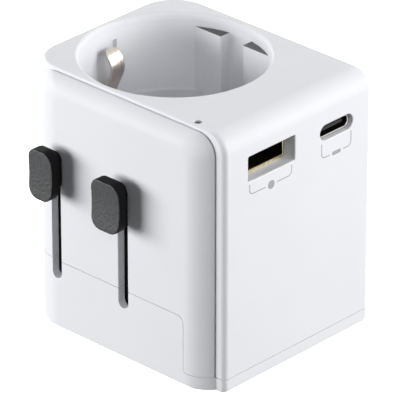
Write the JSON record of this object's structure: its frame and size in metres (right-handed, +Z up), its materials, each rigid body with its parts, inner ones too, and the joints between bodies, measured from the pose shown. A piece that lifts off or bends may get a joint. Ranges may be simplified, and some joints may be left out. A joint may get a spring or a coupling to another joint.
{
  "type": "travel adapter",
  "caption": "Block-shaped universal travel adapter with a recessed earthed outlet on top, charging ports in one side and slide knobs that push plug pins out of the base.",
  "frame": {"origin": "on the base plane, under the axis of the round outlet", "axes": "+Z up along the outlet's axis, -X to the face with two slide knobs, -Y to the face with the charging ports"},
  "size_m": [0.0566, 0.0551, 0.057],
  "materials": {
    "white_casing": "satin, fine texture",
    "white_outlet": "satin",
    "shutter_plastic": "satin",
    "black_knob": "soft-touch, fine grain",
    "black_moulding": "matte",
    "port_tongue": "matte",
    "nickel_contact": "nickel plated, warm",
    "nickel_pin": "nickel plated",
    "brass_pin": "bright brass",
    "brass_contact": "bare brass",
    "copper_strap": "copper, dull",
    "steel_fastener": "zinc plated",
    "port_steel": "stamped, bright",
    "board_laminate": "solder mask",
    "winding_tape": "taped winding",
    "capacitor_sleeve": "shrink sleeve",
    "fuse_ceramic": "ceramic with metal caps",
    "lens_plastic": "smoked lens"
  },
  "bodies": {
    "housing": {"main_casing": "white_casing", "slide_cover": "white_casing", "base_cover": "white_casing", "slot_guide_plate": "black_moulding", "base_screw_1": "steel_fastener", "base_screw_2": "steel_fastener", "base_screw_3": "steel_fastener", "base_screw_4": "steel_fastener", "outlet_cup": "white_outlet", "earth_clip_rear": "nickel_contact", "earth_clip_front": "nickel_contact", "earth_strap": "copper_strap", "contact_block": "black_moulding", "line_sleeve": "brass_contact", "neutral_sleeve": "brass_contact", "line_strip": "brass_contact", "neutral_strip": "brass_contact", "shutter_spring": "steel_fastener", "charger_board": "board_laminate", "type_a_shell": "port_steel", "type_a_tongue": "port_tongue", "type_c_shell": "port_steel", "type_c_tongue": "port_tongue", "transformer": "winding_tape", "bulk_capacitor": "capacitor_sleeve", "output_capacitor": "capacitor_sleeve", "indicator_lens": "lens_plastic", "cartridge_fuse": "fuse_ceramic", "fuse_clip_line": "nickel_contact", "fuse_clip_load": "nickel_contact"},
    "shutter": {"shutter_plate": "shutter_plastic"},
    "three_pin_set": {"three_pin_knob": "black_knob", "three_pin_carrier": "black_moulding", "three_pin_line": "brass_pin", "three_pin_neutral": "brass_pin", "three_pin_earth": "brass_pin"},
    "round_pin_set": {"round_pin_knob": "black_knob", "round_pin_carrier": "black_moulding", "round_pin_line": "nickel_pin", "round_pin_neutral": "nickel_pin"},
    "blade_set": {"blade_knob": "black_knob", "blade_carrier": "black_moulding"},
    "line_blade": {"blade_line": "nickel_pin"},
    "neutral_blade": {"blade_neutral": "nickel_pin"}
  },
  "joints": [
    {"name": "three_pin_slide", "type": "slide", "parent": "housing", "child": "three_pin_set", "axis": [0, 0, -1], "range_m": [0, 0.0228]},
    {"name": "round_pin_slide", "type": "slide", "parent": "housing", "child": "round_pin_set", "axis": [0, 0, -1], "range_m": [0, 0.0228]},
    {"name": "blade_slide", "type": "slide", "parent": "housing", "child": "blade_set", "axis": [0, 0, -1], "range_m": [0, 0.0228]},
    {"name": "line_blade_turn", "type": "hinge", "parent": "blade_set", "child": "line_blade", "pos_m": [0.0162, -0.00365, 0.02], "axis": [0, 0, 1], "range_deg": [0, 30]},
    {"name": "neutral_blade_turn", "type": "hinge", "parent": "blade_set", "child": "neutral_blade", "pos_m": [0.0162, -0.01635, 0.02], "axis": [0, 0, 1], "range_deg": [-30, 0]},
    {"name": "shutter_slide", "type": "slide", "parent": "housing", "child": "shutter", "axis": [0, 1, 0], "range_m": [0, 0.006], "stiffness_N_per_m": 80, "springref_m": -0.002, "deforming": ["shutter_spring"]}
  ]
}
